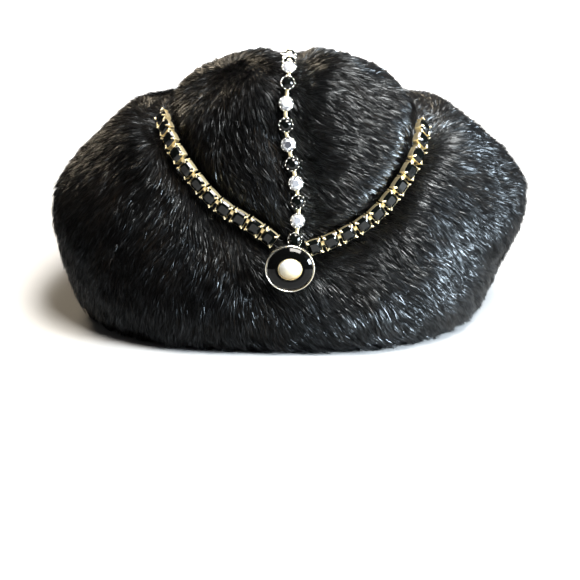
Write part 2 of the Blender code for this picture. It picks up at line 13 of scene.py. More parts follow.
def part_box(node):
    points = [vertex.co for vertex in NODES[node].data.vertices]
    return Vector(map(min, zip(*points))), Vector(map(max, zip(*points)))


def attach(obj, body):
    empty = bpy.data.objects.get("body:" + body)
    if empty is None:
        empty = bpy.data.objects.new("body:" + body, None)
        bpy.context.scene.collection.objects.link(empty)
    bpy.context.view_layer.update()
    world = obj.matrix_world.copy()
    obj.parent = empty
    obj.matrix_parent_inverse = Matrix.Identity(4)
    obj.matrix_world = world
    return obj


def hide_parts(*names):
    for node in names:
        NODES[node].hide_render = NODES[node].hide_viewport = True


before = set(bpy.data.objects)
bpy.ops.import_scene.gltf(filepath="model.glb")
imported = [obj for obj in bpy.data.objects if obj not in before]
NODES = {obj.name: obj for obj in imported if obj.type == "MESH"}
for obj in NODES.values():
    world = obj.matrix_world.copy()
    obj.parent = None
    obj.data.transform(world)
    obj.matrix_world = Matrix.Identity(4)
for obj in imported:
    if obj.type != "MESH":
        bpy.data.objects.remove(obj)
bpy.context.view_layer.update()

# Camera
CAMERA_DISTANCE = 0.700
CAMERA_ELEVATION = math.radians(18)
CAMERA_TARGET = Vector((0.0, -0.0061, 0.0010))
CAMERA_LENS = 70.8
SENSOR_WIDTH = 36

# Fur. Guard hairs are the longer, wider and glossier ones.
HAIR_LENGTH = 0.0066
LENGTH_SPREAD = (0.60, 1.20)
HAIR_WIDTH = 0.00018
GUARD_WIDTH = 0.00021
WIDTH_SPREAD = (0.7, 1.3)
GUARD_SHARE = 0.60
GUARD_LONGER = 1.1
HAIR_LIFT = math.radians(27)
LEAST_LIFT, MOST_LIFT = 0.10, 1.1
TIP_LIFT_SHARE = 0.35
LOWEST_HAIR = 0.0003
SKIN_DEPTH = 0.0028
HAIR_ROOM = 0.0075
HAIR_COUNT = 470000
HAIRS_PER_PIECE = 96000
HAIR_SHARES = {"crown": 1.25, "cuff": 1.0}
FUR_SEED = 7

# Where the lie of the hair changes: by x or y on the crown, by the angle round the hat on the cuff
LOBE_SPLIT = (-0.012, 0.012)
LEFT_EDGE = (0.030, 0.060)
CROWN_BACK = (-0.070, 0.000)
CUFF_RIGHT, CUFF_RIGHT_END = (-0.35, 0.20), (1.2, 2.2)
CUFF_LEFT, CUFF_LEFT_END = (-2.2, -1.4), (-0.50, -0.10)

# Waves in the fur: size, seed and strength of each, and the random part from hair to hair
SWAY_WAVES, SWAY_RANDOM = ((0.030, 1, 0.24), (0.008, 2, 0.16), (0.0035, 6, 0.10)), 0.09
LIFT_WAVES, LIFT_RANDOM = ((0.012, 3, 0.30), (0.004, 7, 0.30)), 0.07
LENGTH_WAVES = ((0.012, 4, 0.16),)
TWIST_WAVES, TWIST_RANDOM = ((0.0030, 8, 0.30),), 0.65
SHADE_MIDDLE, SHADE_WAVES, SHADE_RANDOM = 0.36, ((0.030, 5, 0.12),), 0.18

# Hair near the stones: none up to the first distance, and pushed away and raised up to the second
STONE_CLEAR = 0.0031
STONE_FADE = 0.0095
CLEAR_SPREAD = 0.0004
MEDALLION_WIDER = 0.0085
PUSH_AWAY = 0.35
NEAR_LIFT = 0.30
NEAR_LONGER = 0.30

# Painted sheen of the hair by place, standing in for how light falls on the fur: low on the left, high on
# the right and beside the stones
GUARD_GLOSS, SOFT_GLOSS = 0.50, 0.15
GLOSS_SPREAD = (0.4, 1.6)
PAINTED_SHEEN_LEFT, PAINTED_SHEEN_RIGHT_MORE = 0.26, 0.69
PAINTED_SHEEN_LEFT_TO_RIGHT = (-0.014, 0.036)
PAINTED_SHEEN_CROWN_HEIGHTS, PAINTED_SHEEN_CROWN_LESS = (0.080, 0.105), 0.35
PAINTED_SHEEN_FAR_RIGHT, PAINTED_SHEEN_FAR_RIGHT_LESS = (0.090, 0.125), 0.45
PAINTED_SHEEN_BESIDE_STONES, PAINTED_SHEEN_BESIDE_MORE = (0.005, 0.020), 1.20
SPARK_FROM, SPARK_MORE = 1.50, 1.80

# Inside of the head hollow, from which every stone faces away
HAT_MIDDLE = Vector((0, 0, 0.045))

# Settings of the stones, as shares of the stone's or cup's width and of the cup's depth.
# Walls: share of the width, share of the depth, and squareness if any. Bars: width and depth.
CUP_DEPTH = 0.0038
ROUND_STONE = 0.0080
SQUARE_CUP = 0.0078
ROUND_WALLS = ((0.66, 0), (0.90, 0.45), (0.97, 0.94), (0.93, 1.03), (0.86, 0.97))
ROUND_WALL_SIDES = 24
SQUARE_WALLS = ((0.88, 0, 6.0), (0.93, 0.50, 6.0), (0.98, 0.92, 7.0), (0.97, 0.95, 7.0), (0.94, 0.93, 7.0))
SQUARE_WALL_SIDES = 32
GEM_BASES, GEM_RISES = (0.96, 0.94), (0.0017, 0.0016)
ROUND_GEM, ROUND_GEM_SIDES = 0.84, 12
SQUARE_GEM, SQUARE_GEM_SIDES, SQUARE_GEM_POWER = 0.965, 16, 5.0
PRONGS = 10
PRONG_PLACE, PRONG_SIZE, PRONG_HEIGHT = 0.435, 0.052, 1.05
CLAW_PLACE = 0.455
CLAW_HEIGHTS = (0.25, 1.22, 1.36)
CLAW_LEAN, CLAW_TIP = 0.98, 0.70
CLAW_BEND = 0.00046
BAR_START = 0.40
BAR_HEIGHT = 0.0010
ROUND_BAR, SQUARE_BAR = (0.0018, 0.0008), (0.0024, 0.0010)
CLAW_BAR, TIP_BAR = (0.0010, 0.0007), (0.0008, 0.0006)
PAINTED_GLINT_SHARE = 0.62
SMOOTH_UNDER = math.radians(40)

# Medallion. Profiles: inset from the outer edge, and height over the back.
PEARL_OVAL = 0.0016
RIM_WIDTH = 0.0008
RIM_DEPTH = 0.0050
RIM_SIDES = 96
DISC_GAP = 0.0003
DISC_PROFILE = ((0, 0.0023), (0, 0.0044), (0.0016, 0.0055), (0.0040, 0.0060))
DISC_SIDES = 24
PEARL_INSET = 0.0012
PEARL_FOOT = 0.0063
PEARL_BAND = 0.0008
PEARL_SUNK = 0.0006
PEARL_RISE = 0.0040
PEARL_SHARE = 0.99
PEARL_SIDES = 64
PEARL_STEPS = 14

# Studio. Lights: name, place, what each looks at, size, power and colour.
FLOOR_HALF = 4.0
LIT_POINT = (0, 0, 0.06)
LIGHTS = (
    ("key", (1.30, -0.65, 0.52), LIT_POINT, (0.50, 0.50), 108, (0.80, 0.91, 1.0)),
    ("overhead", (0.35, -0.60, 1.25), LIT_POINT, (0.50, 0.50), 46, (1.0, 0.96, 0.90)),
    ("top", (0.20, 0.15, 1.45), LIT_POINT, (0.50, 0.50), 34, (1.0, 0.97, 0.93)),
    ("rim", (-0.70, 1.10, 0.75), LIT_POINT, (0.50, 0.50), 15, (1.0, 0.84, 0.62)),
    ("back", (0.0, 2.4, 1.8), (0, 2.4, 0), (6.0, 2.8), 520, (1.0, 1.0, 1.0)),
)
BACK_SPREAD = math.radians(62)
WORLD_LIGHT = 0.07


def smooth_step(value, low, high):
    """0 below low, 1 above high and smooth between, for numbers or arrays."""
    t = np.clip((value - low) / (high - low), 0, 1)
    return t * t * (3 - 2 * t)


def unit(vectors):
    """Rows of vectors brought to length 1."""
    return vectors / np.maximum(np.linalg.norm(vectors, axis=1, keepdims=True), 1e-9)


def waves(points, size, seed):
    """A smooth random value from about -1 to 1 at each point, with features of the given size."""
    rng = np.random.default_rng(seed)
    total = np.zeros(len(points))
    for _ in range(7):
        direction = rng.normal(size=3)
        direction /= np.linalg.norm(direction)
        turn = points @ direction * (2 * math.pi / size) * rng.uniform(0.7, 1.4)
        total += np.sin(turn + rng.uniform(0, 2 * math.pi))
    return total / 2.6


def wave_sum(points, table):
    """The waves of a table added up at each point."""
    return sum(waves(points, size, seed) * strength for size, seed, strength in table)


def new_material(name, colour, roughness, metallic=0.0, **inputs):
    """A Principled material; inputs sets further sockets by their names with _ for a space."""
    material = bpy.data.materials.new(name)
    material.use_nodes = True
    shader = material.node_tree.nodes["Principled BSDF"]
    shader.inputs["Base Color"].default_value = (*colour, 1)
    shader.inputs["Roughness"].default_value = roughness
    shader.inputs["Metallic"].default_value = metallic
    for key, value in inputs.items():
        shader.inputs[key.replace("_", " ")].default_value = value
    return material


def fur_material():
    """Black hair, its colour by the shade of each hair and its shine by the gloss of each, which carries a
    painted sheen by place.
    """
    material = new_material("mink_fur", (0.01, 0.01, 0.01), 0.30)
    tree = material.node_tree
    shader = tree.nodes["Principled BSDF"]
    shade = tree.nodes.new("ShaderNodeAttribute")
    shade.attribute_name = "shade"
    ramp = tree.nodes.new("ShaderNodeValToRGB")
    ramp.color_ramp.elements[0].color = (0.0010, 0.0010, 0.0012, 1)
    ramp.color_ramp.elements[1].color = (0.018, 0.012, 0.007, 1)
    middle = ramp.color_ramp.elements.new(0.6)
    middle.color = (0.0035, 0.0032, 0.0030, 1)
    tree.links.new(shade.outputs["Fac"], ramp.inputs["Fac"])
    tree.links.new(ramp.outputs["Color"], shader.inputs["Base Color"])
    # Each hair's shine, with a painted sheen by place: glossier on the right and beside the stones, duller
    # on the left.
    gloss_and_painted_sheen = tree.nodes.new("ShaderNodeAttribute")
    gloss_and_painted_sheen.attribute_name = "gloss_and_painted_sheen"
    shader.inputs["Specular Tint"].default_value = (0.86, 0.94, 1.0, 1)
    tree.links.new(gloss_and_painted_sheen.outputs["Fac"], shader.inputs["Specular IOR Level"])
    return material


def crystal_material():
    """Foil-backed crystal with painted reflections: bright facets with a few dark ones among them."""
    material = new_material("clear_crystal", (0.90, 0.92, 0.95), 0.10, 0.35, Coat_Weight=1.0)
    tree = material.node_tree
    # Painted reflections: each facet's colour is set bright or dark by its sparkle value.
    painted_sparkle = tree.nodes.new("ShaderNodeAttribute")
    painted_sparkle.attribute_name = "painted_sparkle"
    ramp = tree.nodes.new("ShaderNodeValToRGB")
    ramp.color_ramp.elements[0].color = (0.06, 0.06, 0.07, 1)
    ramp.color_ramp.elements[1].color = (0.66, 0.68, 0.72, 1)
    tree.links.new(painted_sparkle.outputs["Fac"], ramp.inputs["Fac"])
    tree.links.new(ramp.outputs["Color"], tree.nodes["Principled BSDF"].inputs["Base Color"])
    return material


def pearl_material():
    """Pearl with painted light: bluish white and lighter above, warm and darker below."""
    material = new_material("pearl_painted_light", (0.60, 0.58, 0.50), 0.24, Coat_Weight=0.4)
    tree = material.node_tree
    # Painted light: the colour runs from lighter and bluish at the top to darker and warm at the bottom.
    place = tree.nodes.new("ShaderNodeTexCoord")
    split = tree.nodes.new("ShaderNodeSeparateXYZ")
    ramp = tree.nodes.new("ShaderNodeValToRGB")
    ramp.color_ramp.elements[0].color = (0.32, 0.21, 0.07, 1)
    ramp.color_ramp.elements[1].color = (0.32, 0.37, 0.45, 1)
    middle = ramp.color_ramp.elements.new(0.45)
    middle.color = (0.39, 0.35, 0.25, 1)
    tree.links.new(place.outputs["Generated"], split.inputs["Vector"])
    tree.links.new(split.outputs["Z"], ramp.inputs["Fac"])
    tree.links.new(ramp.outputs["Color"], tree.nodes["Principled BSDF"].inputs["Base Color"])
    return material


def skin_material():
    """The dark underfur and the plain dark inside of the hat."""
    material = new_material("underfur", (0.004, 0.004, 0.004), 0.9, Specular_IOR_Level=0.1)
    tree = material.node_tree
    noise = tree.nodes.new("ShaderNodeTexNoise")
    noise.inputs["Scale"].default_value = 900
    bump = tree.nodes.new("ShaderNodeBump")
    bump.inputs["Strength"].default_value = 0.5
    bump.inputs["Distance"].default_value = 0.0006
    tree.links.new(noise.outputs["Fac"], bump.inputs["Height"])
    tree.links.new(bump.outputs["Normal"], tree.nodes["Principled BSDF"].inputs["Normal"])
    return material


def triangle_arrays(mesh):
    """The corner points of a mesh's triangles and the normals there, each of shape (count, 3, 3)."""
    mesh.calc_loop_triangles()
    corners = np.empty(len(mesh.loop_triangles) * 3, np.int32)
    mesh.loop_triangles.foreach_get("vertices", corners)
    corners = corners.reshape(-1, 3)
    points = np.array([vert.co for vert in mesh.vertices])
    normals = np.array([vert.normal for vert in mesh.vertices])
    return points[corners], normals[corners]


def welded_copy(node):
    """A bmesh of a node with the seams that its file cuts in the mesh closed again."""
    bm = bmesh.new()
    bm.from_mesh(NODES[node].data)
    bmesh.ops.remove_doubles(bm, verts=bm.verts, dist=1e-6)
    return bm


def outside_share(point, normal):
    """1 where a skin point faces out of the hat, 0 in the hollow and on the resting face."""
    out = Vector((point.x, point.y, (point.z - HAT_MIDDLE.z) * 1.5)).normalized()
    facing = float(smooth_step(normal.dot(out), 0.05, 0.45))
    return facing * float(smooth_step(point.z, 0.0005, 0.0080))


def build_skin(node, material):
    """The form of the crown or the cuff, drawn in under the hair, as a piece that replaces its node."""
    bm = welded_copy(node)
    for _ in range(2):
        bmesh.ops.smooth_vert(bm, verts=bm.verts, factor=0.5, use_axis_x=True, use_axis_y=True)
    bm.normal_update()
    moves = [(v, v.normal * SKIN_DEPTH * outside_share(v.co, v.normal)) for v in bm.verts]
    for vert, move in moves:
        vert.co -= move
        vert.co.z = max(vert.co.z, 0)
    mesh = bpy.data.meshes.new(node + "_skin")
    bm.to_mesh(mesh)
    bm.free()
    mesh.shade_smooth()
    mesh.materials.append(material)
    skin = bpy.data.objects.new(node + "_skin", mesh)
    bpy.context.scene.collection.objects.link(skin)
    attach(skin, "root")
    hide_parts(node)
    return skin


def open_triangles(mesh, blockers):
    """The triangles of a skin that face out of the hat and have room for hair above them."""
    triangles, normals = triangle_arrays(mesh)
    facing = unit(np.cross(triangles[:, 1] - triangles[:, 0], triangles[:, 2] - triangles[:, 0]))
    middles = triangles.mean(axis=1)
    kept = []
    for k, (middle, normal) in enumerate(zip(middles, facing)):
        point, out = Vector(middle), Vector(normal)
        if outside_share(point, out) < 0.02 and point.z > 0.0015:
            continue
        if normal[2] < -0.97 and point.z < 0.002:
            continue
        start = point + out * 0.0008
        if blockers.ray_cast(start, out, HAIR_ROOM)[0] is None:
            kept.append(k)
    return triangles[kept], normals[kept]


def triangle_areas(triangles):
    """The area of each triangle."""
    edges = np.cross(triangles[:, 1] - triangles[:, 0], triangles[:, 2] - triangles[:, 0])
    return np.linalg.norm(edges, axis=1) / 2


def scatter(triangles, normals, count, rng):
    """Random points on triangles, evenly by area, with the smooth normals there."""
    areas = triangle_areas(triangles)
    chosen = rng.choice(len(triangles), size=count, p=areas / areas.sum())
    u, v = rng.random(count), rng.random(count)
    over = u + v > 1
    u[over], v[over] = 1 - u[over], 1 - v[over]
    weights = np.stack([1 - u - v, u, v], axis=1)[:, :, None]
    points = (triangles[chosen] * weights).sum(axis=1)
    return points, unit((normals[chosen] * weights).sum(axis=1))


def crown_flow(points):
    """The way the hair lies on the crown: steep on the left lobe, across the right, back behind."""
    x, y = points[:, 0], points[:, 1]
    right = smooth_step(x, *LOBE_SPLIT)
    edge = smooth_step(-x, *LEFT_EDGE)
    behind = smooth_step(y, *CROWN_BACK)
    flow = np.empty_like(points)
    flow[:, 0] = (0.45 - 0.85 * edge) * (1 - right) + right + behind * (0.3 - right)
    flow[:, 1] = -0.15 + 1.1 * behind
    flow[:, 2] = -1.0 + 0.62 * right
    return flow


def cuff_flow(points):
    """The way the hair lies on the cuff: down, and round to the right at the front and right."""
    azimuth = np.arctan2(points[:, 0], -points[:, 1])
    right = smooth_step(azimuth, *CUFF_RIGHT) * (1 - smooth_step(azimuth, *CUFF_RIGHT_END))
    left = smooth_step(azimuth, *CUFF_LEFT) * (1 - smooth_step(azimuth, *CUFF_LEFT_END))
    turn = 0.15 + 0.85 * right - 0.40 * left
    around = np.stack([np.cos(azimuth), np.sin(azimuth), np.zeros(len(points))], axis=1)
    return around * turn[:, None] + np.array([0, 0, -1.0])


def stone_centres():
    """The middles of the stones and the medallion, and how much wider than a stone each is."""
    centres, extra = [], []
    for name in NODES:
        if "stone" in name or name == "medallion_bezel":
            low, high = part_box(name)
            centres.append((low + high) / 2)
            extra.append(MEDALLION_WIDER if name == "medallion_bezel" else 0)
    return np.array(centres), np.array(extra)


def from_stones(points):
    """The distance of each point from the nearest stone's edge, and the way away from it."""
    centres, extra = stone_centres()
    nearest = np.full(len(points), 1.0)
    away = np.zeros_like(points)
    for centre, wider in zip(centres, extra):
        offset = points - centre
        distance = np.linalg.norm(offset, axis=1) - wider
        closer = distance < nearest
        nearest[closer] = distance[closer]
        away[closer] = offset[closer]
    return nearest, unit(away)


def gloss_spread_and_painted_sheen(points, distance, rng):
    """How glossy each hair is: a painted sheen by its place, a random spread from hair to hair, and a few
    bright ones among the dark hair of the left.
    """
    # Painted sheen by place, standing in for how light falls: dull on the left, glossy on the right,
    # duller on the left crown and the far right, glossier beside the stones where the fur turns from the
    # light.
    right = smooth_step(points[:, 0], *PAINTED_SHEEN_LEFT_TO_RIGHT)
    share = PAINTED_SHEEN_LEFT + PAINTED_SHEEN_RIGHT_MORE * right
    share *= 1 - PAINTED_SHEEN_CROWN_LESS * (1 - right) * smooth_step(points[:, 2], *PAINTED_SHEEN_CROWN_HEIGHTS)
    share *= 1 - PAINTED_SHEEN_FAR_RIGHT_LESS * smooth_step(points[:, 0], *PAINTED_SHEEN_FAR_RIGHT)
    share *= 1 + PAINTED_SHEEN_BESIDE_MORE * (1 - smooth_step(distance, *PAINTED_SHEEN_BESIDE_STONES))
    draw = rng.uniform(*GLOSS_SPREAD, len(points))
    share *= np.where(draw > SPARK_FROM, 1 + SPARK_MORE * (1 - right), 1.0)
    return share * draw


def hairs(points, normals, flow, rng):
    """The four points of each hair's kite: root, left, right and tip."""
    count = len(points)
    distance, away = from_stones(points)
    keep = distance > STONE_CLEAR + rng.normal(size=count) * CLEAR_SPREAD
    points, normals, flow = points[keep], normals[keep], flow[keep]
    distance, away = distance[keep], away[keep]
    count = len(points)
    near = 1 - smooth_step(distance, STONE_CLEAR, STONE_FADE)

    flow = unit(flow - normals * np.sum(flow * normals, axis=1, keepdims=True))
    across = np.cross(normals, flow)
    sway = wave_sum(points, SWAY_WAVES) + rng.normal(size=count) * SWAY_RANDOM
    flow = unit(flow + across * sway[:, None] + away * (near * PUSH_AWAY)[:, None])
    flow = unit(flow - normals * np.sum(flow * normals, axis=1, keepdims=True))
    across = np.cross(normals, flow)

    lift = HAIR_LIFT * (1 + wave_sum(points, LIFT_WAVES))
    lift += rng.normal(size=count) * LIFT_RANDOM + near * NEAR_LIFT
    lift = np.clip(lift, LEAST_LIFT, MOST_LIFT)
    length = HAIR_LENGTH * rng.uniform(*LENGTH_SPREAD, count) * (1 + wave_sum(points, LENGTH_WAVES))
    length *= 1 + NEAR_LONGER * near
    guard = rng.random(count) < GUARD_SHARE
    length[guard] *= GUARD_LONGER

    first = flow * np.cos(lift)[:, None] + normals * np.sin(lift)[:, None]
    tip_lift = lift * TIP_LIFT_SHARE
    second = flow * np.cos(tip_lift)[:, None] + normals * np.sin(tip_lift)[:, None]
    middle = points + first * (length * 0.5)[:, None]
    tip = middle + second * (length * 0.5)[:, None]

    twist = wave_sum(points, TWIST_WAVES) + rng.normal(size=count) * TWIST_RANDOM
    up = np.cross(first, across)
    wide = across * np.cos(twist)[:, None] + up * np.sin(twist)[:, None]
    half = np.where(guard, GUARD_WIDTH, HAIR_WIDTH) / 2 * rng.uniform(*WIDTH_SPREAD, count)
    left = middle - wide * half[:, None]
    right = middle + wide * half[:, None]
    kites = np.stack([points, left, right, tip], axis=1)
    kites[:, :, 2] = np.maximum(kites[:, :, 2], LOWEST_HAIR)

    shade = SHADE_MIDDLE + wave_sum(points, SHADE_WAVES) + rng.normal(size=count) * SHADE_RANDOM
    shade = np.clip(shade, 0, 1)
    gloss_and_painted_sheen = np.where(guard, GUARD_GLOSS, SOFT_GLOSS) * gloss_spread_and_painted_sheen(points, distance, rng)
    return kites, {"shade": shade, "gloss_and_painted_sheen": gloss_and_painted_sheen}


def hair_piece(name, kites, values, material):
    """One joined mesh of hairs."""
    count = len(kites)
    base = np.arange(count, dtype=np.int32)[:, None] * 4
    faces = np.concatenate([base + [0, 1, 2], base + [3, 2, 1]], axis=1).reshape(-1)
    mesh = bpy.data.meshes.new(name)
    mesh.vertices.add(count * 4)
    mesh.vertices.foreach_set("co", kites.reshape(-1).astype(np.float32))
    mesh.loops.add(count * 6)
    mesh.loops.foreach_set("vertex_index", faces)
    mesh.polygons.add(count * 2)
    mesh.polygons.foreach_set("loop_start", np.arange(count * 2, dtype=np.int32) * 3)
    mesh.update(calc_edges=True)
    for key, value in values.items():
        layer = mesh.attributes.new(key, "FLOAT", "POINT")
        layer.data.foreach_set("value", np.repeat(value, 4).astype(np.float32))
    mesh.materials.append(material)
    piece = bpy.data.objects.new(name, mesh)
    bpy.context.scene.collection.objects.link(piece)
    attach(piece, "root")


def build_fur():
    """The hair of the crown and of the cuff, in pieces by their place round the hat."""
    under, hair = skin_material(), fur_material()
    skins = {node: build_skin(node, under) for node in ("crown", "cuff")}
    points, faces = [], []
    for skin in skins.values():
        base = len(points)
        points += [vert.co.copy() for vert in skin.data.vertices]
        faces += [[base + k for k in face.vertices] for face in skin.data.polygons]
    blockers = BVHTree.FromPolygons(points, faces)

    rng = np.random.default_rng(FUR_SEED)
    areas = {node: open_triangles(skin.data, blockers) for node, skin in skins.items()}
    sizes = {node: triangle_areas(area[0]).sum() * HAIR_SHARES[node] for node, area in areas.items()}
    for node, (triangles, normals) in areas.items():
        count = int(HAIR_COUNT * sizes[node] / sum(sizes.values()))
        roots, out = scatter(triangles, normals, count, rng)
        flow = crown_flow(roots) if node == "crown" else cuff_flow(roots)
        kites, values = hairs(roots, out, flow, rng)
        azimuth = np.arctan2(kites[:, 0, 0], -kites[:, 0, 1])
        order = np.argsort(azimuth)
        parts = math.ceil(len(order) / HAIRS_PER_PIECE)
        for k, chosen in enumerate(np.array_split(order, parts)):
            part = {key: value[chosen] for key, value in values.items()}
            hair_piece(f"{node}_hair_{k + 1}", kites[chosen], part, hair)


def flat_back(node):
    """The outward axis of a setting and the corner points of its flat back, in order round it."""
    bm = welded_copy(node)
    bm.normal_update()
    groups = []
    for face in bm.faces:
        area = face.calc_area()
        for group in groups:
            if group.normalized().dot(face.normal) > 0.9995:
                group += face.normal * area
                break
        else:
            groups.append(face.normal * area)
    axis = max(groups, key=lambda group: group.length).normalized()
    middle = sum((vert.co for vert in bm.verts), Vector()) / len(bm.verts)
    if axis.dot(middle - HAT_MIDDLE) < 0:
        axis = -axis
    floor = min(axis.dot(vert.co) for vert in bm.verts)
    back = [vert.co.copy() for vert in bm.verts if axis.dot(vert.co) < floor + 0.0001]
    bm.free()
    origin = sum(back, Vector()) / len(back)
    first = (back[0] - origin).normalized()
    other = axis.cross(first)
    back.sort(key=lambda p: math.atan2(other.dot(p - origin), first.dot(p - origin)))
    return axis, origin, back


def setting_frame(node, ahead):
    """The frame of a setting: X square to the edge of its back that faces ahead, Z out of the fur."""
    axis, origin, back = flat_back(node)
    edges = list(zip(back, back[1:] + back[:1]))
    longest = max((b - a).length for a, b in edges)
    middles = [(a + b) / 2 - origin for a, b in edges if (b - a).length > longest * 0.8]
    along = max(middles, key=lambda way: way.normalized().dot(ahead))
    along = (along - axis * along.dot(axis)).normalized()
    place = Matrix((along, axis.cross(along), axis)).transposed().to_4x4()
    place.translation = origin
    return place


def ring_points(width, length, height, sides, power=2.0, start=0.0):
    """A ring of points on a rounded oval."""
    points = []
    for k in range(sides):
        turn = 2 * math.pi * (k + start) / sides
        c, s = math.cos(turn), math.sin(turn)
        reach = (abs(c) ** power + abs(s) ** power) ** (-1 / power)
        points.append(Vector((c * reach * width / 2, s * reach * length / 2, height)))
    return points


def add_loft(bm, rings, slot):
    """Adds a closed skin through rings to a bmesh, with flat ends."""
    rows = [[bm.verts.new(point) for point in ring] for ring in rings]
    made = []
    count = len(rows[0])
    for low, high in zip(rows, rows[1:]):
        for k in range(count):
            after = (k + 1) % count
            made.append(bm.faces.new((low[k], low[after], high[after], high[k])))
    made.append(bm.faces.new(rows[0][::-1]))
    made.append(bm.faces.new(rows[-1]))
    for face in made:
        face.material_index = slot


def add_ball(bm, centre, radius, slot):
    """Adds a small ball."""
    made = bmesh.ops.create_uvsphere(
        bm, u_segments=8, v_segments=5, radius=radius, matrix=Matrix.Translation(centre)
    )
    for vert in made["verts"]:
        for face in vert.link_faces:
            face.material_index = slot


def add_bar(bm, start, end, width, depth, slot):
    """Adds a bar with rounded edges between two points, its depth along Z."""
    along = (end - start).normalized()
    across = Vector((0, 0, 1)).cross(along)
    if across.length < 0.1:
        across = Vector((0, 1, 0))
    across.normalize()
    up = along.cross(across).normalized()
    rings = []
    for point in (start, end):
        ring = []
        for k in range(8):
            turn = 2 * math.pi * (k + 0.5) / 8
            ring.append(point + across * math.cos(turn) * width / 2 + up * math.sin(turn) * depth / 2)
        rings.append(ring)
    add_loft(bm, rings, slot)


def add_brilliant(bm, width, length, base, rise, sides, slot, power=2.0):
    """Adds a cut stone: a girdle, a ring of facets that turn half a step, and a flat table."""
    girdle = [bm.verts.new(p) for p in ring_points(width, length, base, sides, power)]
    waist = ring_points(width * 0.80, length * 0.80, base + rise * 0.62, sides, power, 0.5)
    table = ring_points(width * 0.50, length * 0.50, base + rise, sides, power, 0.0)
    waist = [bm.verts.new(p) for p in waist]
    table = [bm.verts.new(p) for p in table]
    faces = []
    for k in range(sides):
        after = (k + 1) % sides
        faces.append(bm.faces.new((girdle[k], girdle[after], waist[k])))
        faces.append(bm.faces.new((girdle[after], waist[after], waist[k])))
        faces.append(bm.faces.new((waist[k], waist[after], table[after])))
        faces.append(bm.faces.new((waist[k], table[after], table[k])))
    faces.append(bm.faces.new(table))
    faces.append(bm.faces.new(girdle[::-1]))
    for face in faces:
        face.material_index = slot


def add_painted_sparkle(mesh, rng):
    """Gives each facet its own brightness as a painted reflection, mostly bright."""
    values = mesh.attributes.new("painted_sparkle", "FLOAT", "FACE")
    for item in values.data:
        item.value = rng.uniform(0.8, 1.0) if rng.random() < PAINTED_GLINT_SHARE else rng.uniform(0.0, 0.4)


def finish_setting(name, node, bm, place, materials, smooth):
    """Turns a bmesh in a setting's frame into a piece that replaces a node."""
    bmesh.ops.recalc_face_normals(bm, faces=bm.faces)
    bm.transform(place)
    mesh = bpy.data.meshes.new(name)
    bm.to_mesh(mesh)
    bm.free()
    if smooth:
        mesh.shade_smooth()
        mesh.set_sharp_from_angle(angle=SMOOTH_UNDER)
    for material in materials:
        mesh.materials.append(material)
    piece = bpy.data.objects.new(name, mesh)
    bpy.context.scene.collection.objects.link(piece)
    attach(piece, "root")
    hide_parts(node)
    return piece


def round_pieces(node, place, reach, clear, looks):
    """A round stone in a thin cup, ringed by prongs, with the bar to the next cup."""
    metal, stone = looks["silver"], looks["clear" if clear else "black"]
    cup = bmesh.new()
    wide = ROUND_STONE
    walls = []
    for share, height in ROUND_WALLS:
        walls.append(ring_points(wide * share, wide * share, CUP_DEPTH * height, ROUND_WALL_SIDES))
    add_loft(cup, walls, 0)
    for k in range(PRONGS):
        turn = 2 * math.pi * (k + 0.5) / PRONGS
        middle = Vector((math.cos(turn), math.sin(turn), 0)) * wide * PRONG_PLACE
        add_ball(cup, middle + Vector((0, 0, CUP_DEPTH * PRONG_HEIGHT)), wide * PRONG_SIZE, 0)
    if reach:
        start, end = Vector((wide * BAR_START, 0, BAR_HEIGHT)), Vector((reach, 0, BAR_HEIGHT))
        add_bar(cup, start, end, *ROUND_BAR, 1)
    finish_setting(node + "_cup", node, cup, place, [metal, looks["gold"]], True)
    gem = bmesh.new()
    width = wide * ROUND_GEM
    add_brilliant(gem, width, width, CUP_DEPTH * GEM_BASES[0], GEM_RISES[0], ROUND_GEM_SIDES, 0)
    piece = finish_setting(node + "_gem", node, gem, place, [stone], False)
    add_painted_sparkle(piece.data, np.random.default_rng(len(node) + int(node[-2:])))


def square_pieces(node, place, reach, looks):
    """A square black stone in a gold cup with four bent claws, and the bar to the next cup."""
    cup = bmesh.new()
    wide = SQUARE_CUP
    walls = []
    for share, height, power in SQUARE_WALLS:
        walls.append(ring_points(wide * share, wide * share, CUP_DEPTH * height, SQUARE_WALL_SIDES, power))
    add_loft(cup, walls, 0)
    for x in (-1, 1):
        for y in (-1, 1):
            corner = Vector((x, y, 0)) * wide * CLAW_PLACE
            foot, bend, tip = (Vector((0, 0, CUP_DEPTH * height)) for height in CLAW_HEIGHTS)
            low, high, inner = corner + foot, corner * CLAW_LEAN + bend, corner * CLAW_TIP + tip
            add_bar(cup, low, high, *CLAW_BAR, 0)
            add_bar(cup, high, inner, *TIP_BAR, 0)
            add_ball(cup, high, CLAW_BEND, 0)
    if reach:
        start, end = Vector((wide * BAR_START, 0, BAR_HEIGHT)), Vector((reach, 0, BAR_HEIGHT))
        add_bar(cup, start, end, *SQUARE_BAR, 0)
    finish_setting(node + "_cup", node, cup, place, [looks["gold"]], True)
    gem = bmesh.new()
    width, base = wide * SQUARE_GEM, CUP_DEPTH * GEM_BASES[1]
    add_brilliant(gem, width, width, base, GEM_RISES[1], SQUARE_GEM_SIDES, 0, SQUARE_GEM_POWER)
    finish_setting(node + "_gem", node, gem, place, [looks["black"]], False)


def build_chain(stem, looks):
    """All the settings of one chain."""
    names = sorted(name for name in NODES if name.startswith(stem))
    middles = [flat_back(name)[1] for name in names]
    places = []
    for k, name in enumerate(names):
        before, after = max(k - 1, 0), min(k + 1, len(names) - 1)
        places.append(setting_frame(name, (middles[after] - middles[before]).normalized()))
    for k, (name, place) in enumerate(zip(names, places)):
        reach = 0
        if k + 1 < len(names):
            gap = (places[k + 1].translation - place.translation).length
            reach = gap - SQUARE_CUP * BAR_START
        if stem == "centre_stone":
            round_pieces(name, place, reach, k % 2 == 1, looks)
        else:
            square_pieces(name, place, reach, looks)


